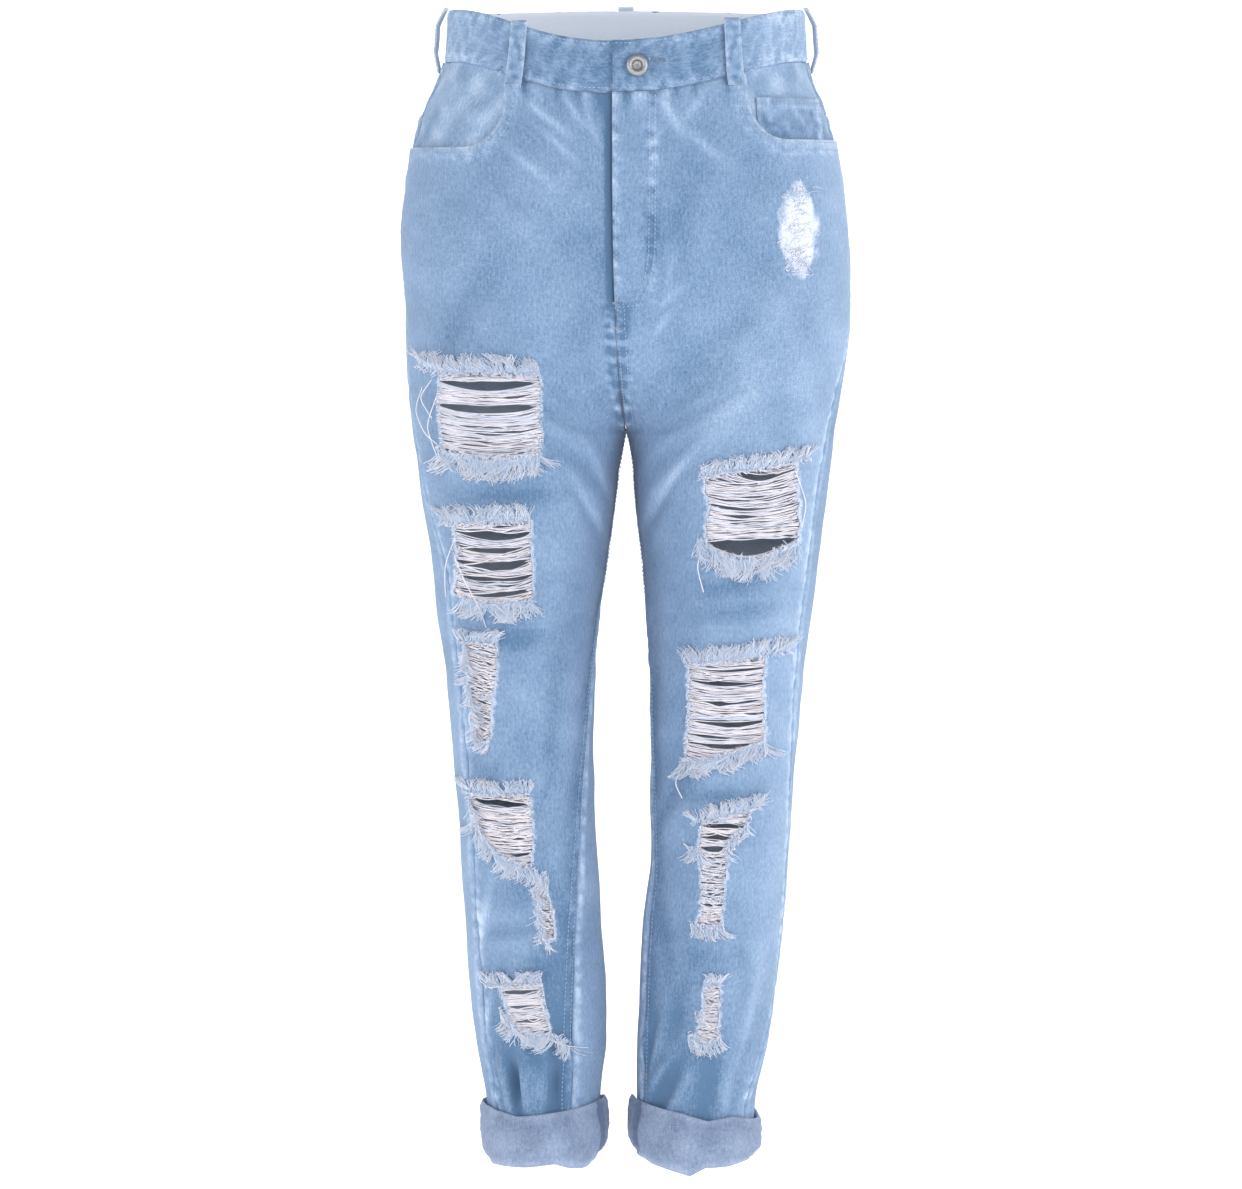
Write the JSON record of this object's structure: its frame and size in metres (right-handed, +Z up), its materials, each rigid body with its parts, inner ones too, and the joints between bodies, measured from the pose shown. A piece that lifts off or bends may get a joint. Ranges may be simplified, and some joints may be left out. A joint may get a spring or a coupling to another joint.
{
  "type": "ripped jeans",
  "caption": "High-waist ripped jeans in light-wash denim, worn and hollow, with torn and frayed legs, scooped pockets, a buttoned fly, belt loops and rolled cuffs.",
  "frame": {"origin": "centre of the waist opening, level with the mean height of the waistband's top edge, where the wearer's waist holds the jeans", "axes": "+Z up along the wearer's body, +X to the wearer's left, -Y the front with the fly"},
  "size_m": [0.3513, 0.236, 0.9155],
  "materials": {
    "denim": "light-wash rigid cotton denim, twill face, faded and frayed",
    "denim_inside": "the paler, greyer wrong side of the same denim",
    "zip": "metal zip on cotton tape, closed",
    "button_metal": "dull grey stamped metal, ring with a hollow centre"
  },
  "bodies": {
    "root": {"front_left": "denim", "front_right": "denim", "back_left": "denim", "back_right": "denim", "yoke_left": "denim", "yoke_right": "denim", "waistband": "denim", "fly_facing": "denim", "fly_shield": "denim", "zip": "zip", "pocket_facing_left": "denim", "pocket_facing_right": "denim", "coin_pocket": "denim", "back_pocket_left": "denim", "back_pocket_right": "denim", "belt_loop_front_left": "denim", "belt_loop_front_right": "denim", "belt_loop_side_left": "denim", "belt_loop_side_right": "denim", "belt_loop_back": "denim", "cuff_left": "denim_inside", "cuff_right": "denim_inside", "button": "button_metal"}
  },
  "joints": []
}
